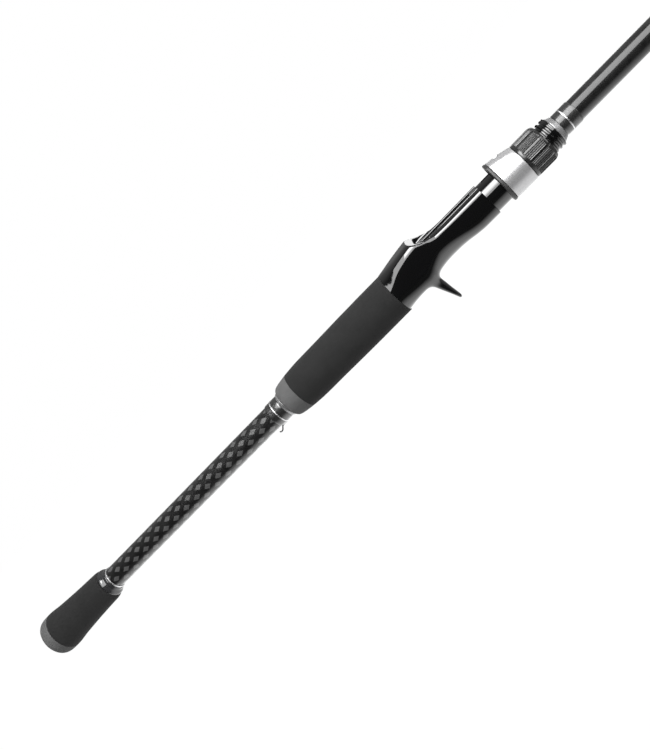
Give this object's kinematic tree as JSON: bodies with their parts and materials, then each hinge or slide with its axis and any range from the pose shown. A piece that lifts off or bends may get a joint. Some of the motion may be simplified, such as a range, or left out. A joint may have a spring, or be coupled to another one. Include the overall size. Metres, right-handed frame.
{
  "type": "fishing rod",
  "caption": "Casting rod with a split foam grip, a trigger reel seat with a screw-down sliding hood, a tapered carbon blank and line guides.",
  "frame": {"origin": "centre of the flat at the butt end, on the rod's axis", "axes": "+X along the rod from the butt to the tip, +Z towards the side that carries the reel and the line guides, trigger at -Z"},
  "size_m": [2.1402, 0.027, 0.0517],
  "materials": {
    "carbon_blank": "carbon fibre blank under clear gloss, with a diamond weave in the handle",
    "eva_grey": "grey closed-cell foam, matte",
    "eva_black": "black closed-cell foam, matte, finely grained",
    "winding_check_black": "gloss black",
    "winding_check_grey": "gloss grey",
    "trim_silver": "polished silver",
    "wire_steel": "stainless wire",
    "thread_wrap": "black thread under clear epoxy",
    "seat_black": "gloss black moulding",
    "arbor": "wound paper tape",
    "hood_silver": "satin silver",
    "liner": "dark grey moulding",
    "nut_black": "satin black moulding, ribbed",
    "guide_frame": "dark plated steel",
    "guide_ring": "polished dark ceramic"
  },
  "bodies": {
    "rod": {"blank": "carbon_blank", "butt_cap": "eva_grey", "butt_grip": "eva_black", "butt_winding_check": "winding_check_black", "butt_trim_ring": "trim_silver", "hook_keeper": "wire_steel", "rear_thread_wrap": "thread_wrap", "rear_trim_ring": "trim_silver", "rear_winding_check": "winding_check_grey", "grip_end_band": "eva_grey", "main_grip": "eva_black", "reel_seat": "seat_black", "seat_arbor_1": "arbor", "seat_arbor_2": "arbor", "seat_arbor_3": "arbor", "front_winding_check": "winding_check_grey", "front_thread_wrap": "thread_wrap", "front_trim_ring": "trim_silver", "guide_1_frame": "guide_frame", "guide_1_ring": "guide_ring", "guide_1_front_wrap": "thread_wrap", "guide_1_rear_wrap": "thread_wrap", "guide_2_frame": "guide_frame", "guide_2_ring": "guide_ring", "guide_2_front_wrap": "thread_wrap", "guide_2_rear_wrap": "thread_wrap", "guide_3_frame": "guide_frame", "guide_3_ring": "guide_ring", "guide_3_front_wrap": "thread_wrap", "guide_3_rear_wrap": "thread_wrap", "guide_4_frame": "guide_frame", "guide_4_ring": "guide_ring", "guide_4_front_wrap": "thread_wrap", "guide_5_frame": "guide_frame", "guide_5_ring": "guide_ring", "guide_5_front_wrap": "thread_wrap", "guide_6_frame": "guide_frame", "guide_6_ring": "guide_ring", "guide_6_front_wrap": "thread_wrap", "guide_7_frame": "guide_frame", "guide_7_ring": "guide_ring", "guide_7_front_wrap": "thread_wrap", "guide_8_frame": "guide_frame", "guide_8_ring": "guide_ring", "guide_8_front_wrap": "thread_wrap", "tip_guide_tube": "guide_frame", "tip_guide_ring": "guide_ring", "tip_thread_wrap": "thread_wrap"},
    "hood": {"sliding_hood": "hood_silver", "hood_liner": "liner"},
    "nut": {"lock_nut": "nut_black"}
  },
  "joints": [
    {"name": "hood_slide", "type": "slide", "parent": "rod", "child": "hood", "axis": [1, 0, 0], "range_m": [-0.00875, 0.005]},
    {"name": "nut_turn", "type": "hinge", "parent": "hood", "child": "nut", "pos_m": [0.417, 0, 0], "axis": [1, 0, 0], "range_deg": [-1260, 720]}
  ],
  "couplings": [
    {"joint": "nut_turn", "follows": "hood_slide", "rad_per_m": 2513.3}
  ]
}
